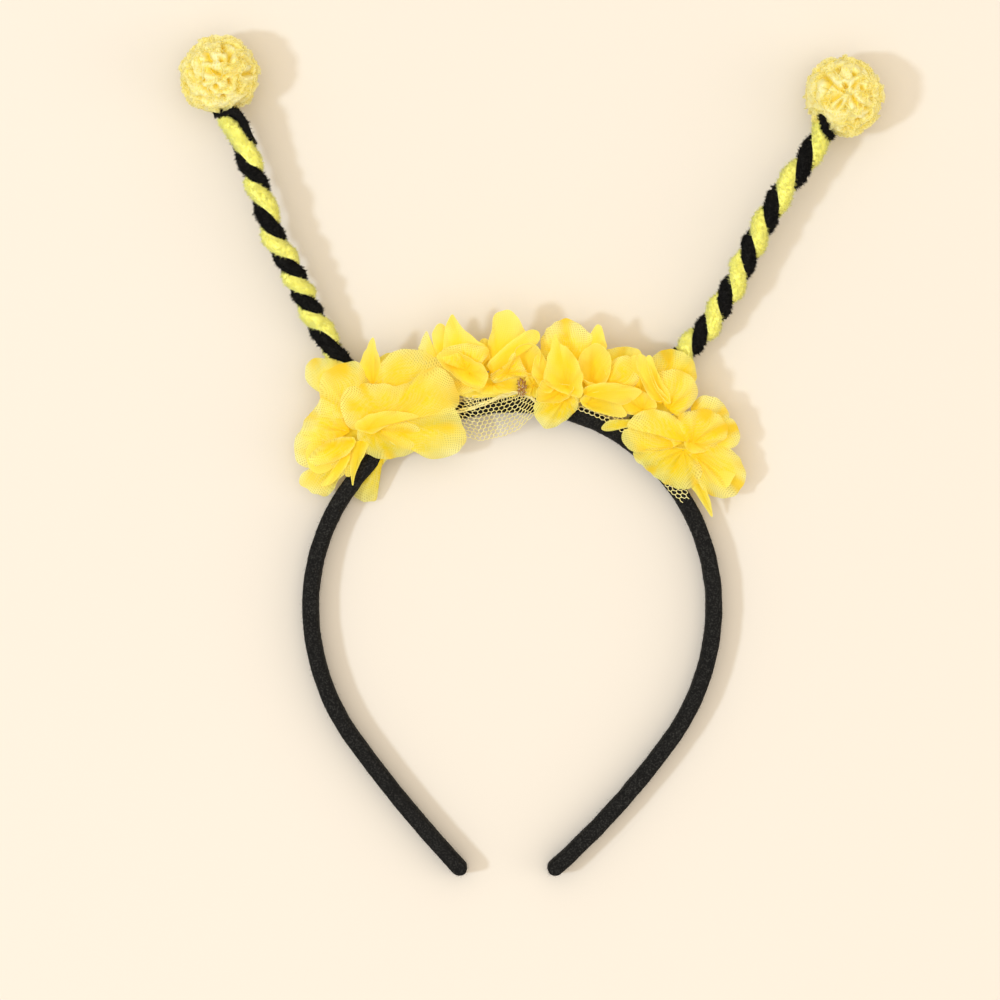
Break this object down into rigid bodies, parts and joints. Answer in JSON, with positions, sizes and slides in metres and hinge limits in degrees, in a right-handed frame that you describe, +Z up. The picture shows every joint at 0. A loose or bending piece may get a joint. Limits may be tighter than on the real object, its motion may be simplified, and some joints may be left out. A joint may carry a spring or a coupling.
{
  "type": "bee antenna headband",
  "caption": "Black cloth-wound headband with yellow chiffon flowers, a net strip, twisted antennae and lace pompoms, lying flat.",
  "frame": {"origin": "on the flat underside of the band at the middle of its crown, on the surface that the headband lies on", "axes": "+Z up from that surface, +Y from the band's crown towards the pompoms, +X to the wearer's right antenna as seen from above"},
  "size_m": [0.2085, 0.2493, 0.0263],
  "materials": {
    "band_cloth": "matt black brushed cloth",
    "black_chenille": "matt black chenille pile",
    "yellow_chenille": "soft lemon yellow chenille pile",
    "lace": "gathered pale yellow lace",
    "net": "pale yellow hexagonal net",
    "chiffon": "thin yellow chiffon"
  },
  "bodies": {
    "root": {"band": "band_cloth", "antenna_left_black": "black_chenille", "antenna_left_yellow": "yellow_chenille", "antenna_right_black": "black_chenille", "antenna_right_yellow": "yellow_chenille", "pompom_left": "lace", "pompom_right": "lace", "net_strip": "net", "flower_left": "chiffon", "flower_middle_left": "chiffon", "flower_middle_right": "chiffon", "flower_right": "chiffon", "flower_far_right": "chiffon"}
  },
  "joints": []
}
